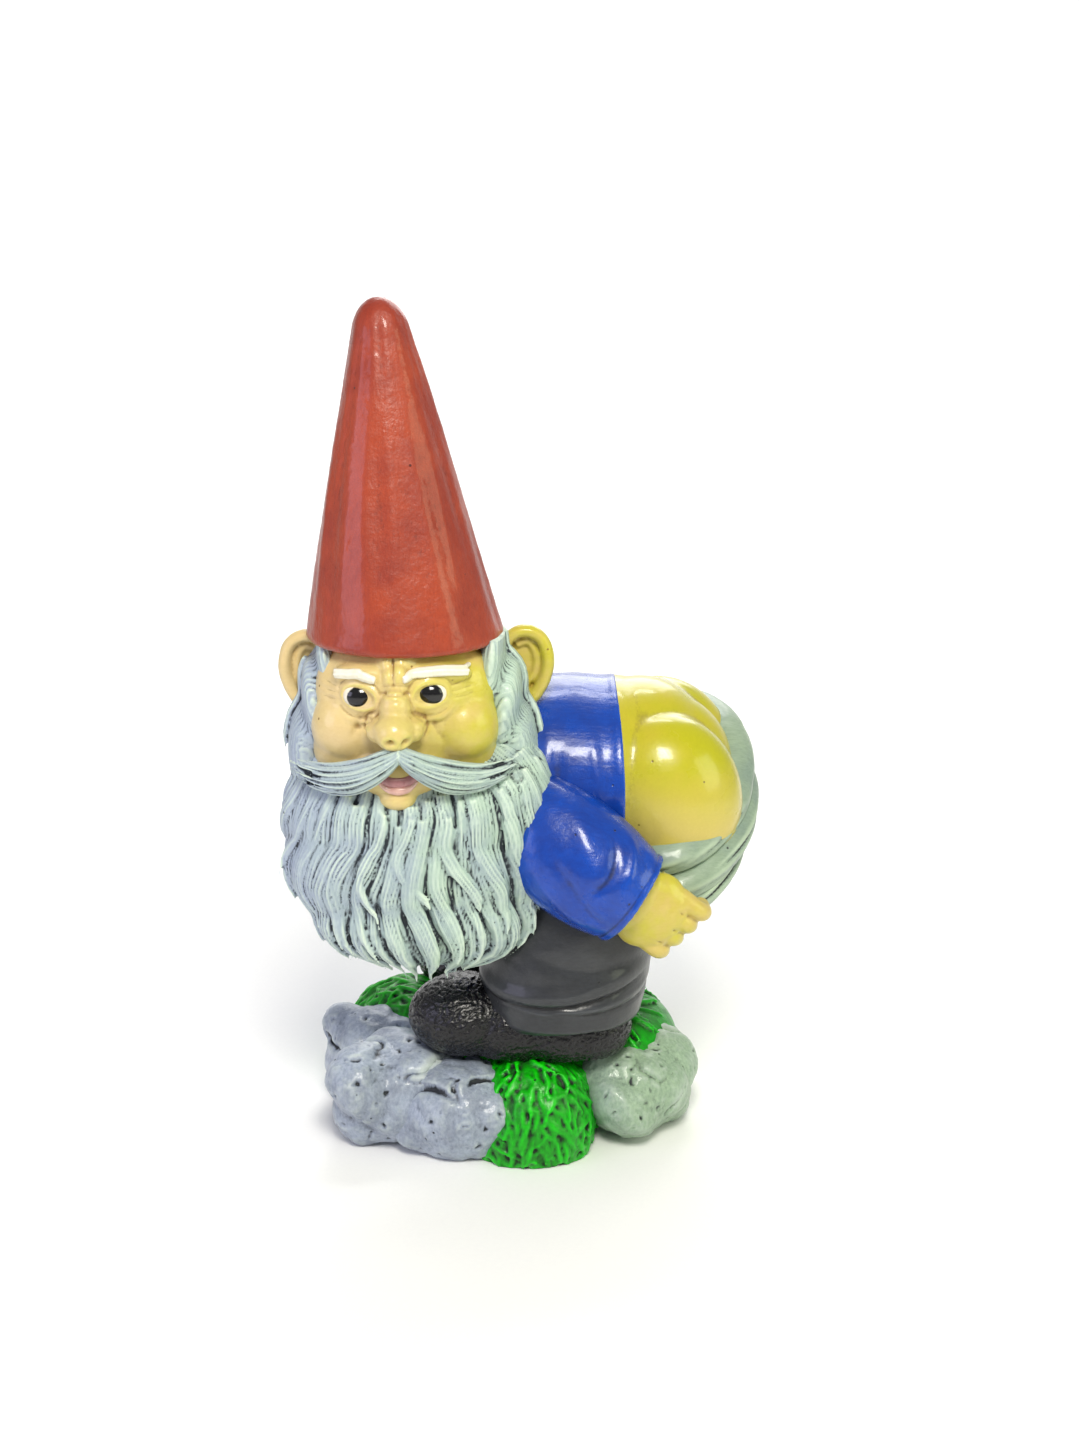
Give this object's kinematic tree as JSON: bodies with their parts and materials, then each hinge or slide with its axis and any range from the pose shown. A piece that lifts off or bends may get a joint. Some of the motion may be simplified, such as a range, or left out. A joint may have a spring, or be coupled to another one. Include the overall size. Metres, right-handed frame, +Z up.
{
  "type": "garden gnome",
  "caption": "Bearded garden gnome in a tall pointed hat, bending over on a rocky turf mound with its trousers held down, looking sideways; free-standing painted cast ornament.",
  "frame": {"origin": "middle of the overall box, at the level of the ground", "axes": "+Z up; the face looks along -Y; the figure bends forward towards -X and its left side is at -Y"},
  "size_m": [0.337, 0.2744, 0.6],
  "materials": {
    "red_hat_paint": "red gloss exterior paint over slightly rough cast concrete",
    "flesh_paint": "yellow flesh gloss paint on smooth cast concrete",
    "grey_hair_paint": "pale grey paint with a dark wash left in the grooves",
    "white_brow_paint": "off-white paint",
    "black_eye_paint": "black gloss paint",
    "lip_paint": "dull pink paint",
    "tooth_paint": "off-white paint dirtied with pink",
    "blue_shirt_paint": "blue gloss paint",
    "grey_trouser_paint": "dark grey paint, satin",
    "black_boot_paint": "black gloss paint over a scratched, leathery texture",
    "grey_rock_paint": "grey paint, satin, on lumpy pitted concrete",
    "green_turf_paint": "bright green paint over modelled grass blades, with dark crevices"
  },
  "bodies": {
    "root": {"hat": "red_hat_paint", "head": "flesh_paint", "nose": "flesh_paint", "left_ear": "flesh_paint", "right_ear": "flesh_paint", "left_eye": "black_eye_paint", "right_eye": "black_eye_paint", "left_eyebrow": "white_brow_paint", "right_eyebrow": "white_brow_paint", "teeth": "tooth_paint", "lower_lip": "lip_paint", "left_moustache": "grey_hair_paint", "right_moustache": "grey_hair_paint", "beard": "grey_hair_paint", "hair": "grey_hair_paint", "shirt_body": "blue_shirt_paint", "left_sleeve": "blue_shirt_paint", "right_sleeve": "blue_shirt_paint", "left_hand": "flesh_paint", "right_hand": "flesh_paint", "bare_seat": "flesh_paint", "upper_waist_roll": "grey_trouser_paint", "middle_waist_roll": "grey_trouser_paint", "lower_waist_roll": "grey_trouser_paint", "left_trouser_leg": "grey_trouser_paint", "right_trouser_leg": "grey_trouser_paint", "left_boot": "black_boot_paint", "right_boot": "black_boot_paint", "turf_mound": "green_turf_paint", "boulder_front_left": "grey_rock_paint", "boulder_front": "grey_rock_paint", "boulder_left": "grey_rock_paint", "boulder_right": "grey_rock_paint", "boulder_far_right": "grey_rock_paint", "boulder_back": "grey_rock_paint", "boulder_back_right": "grey_rock_paint"}
  },
  "joints": []
}
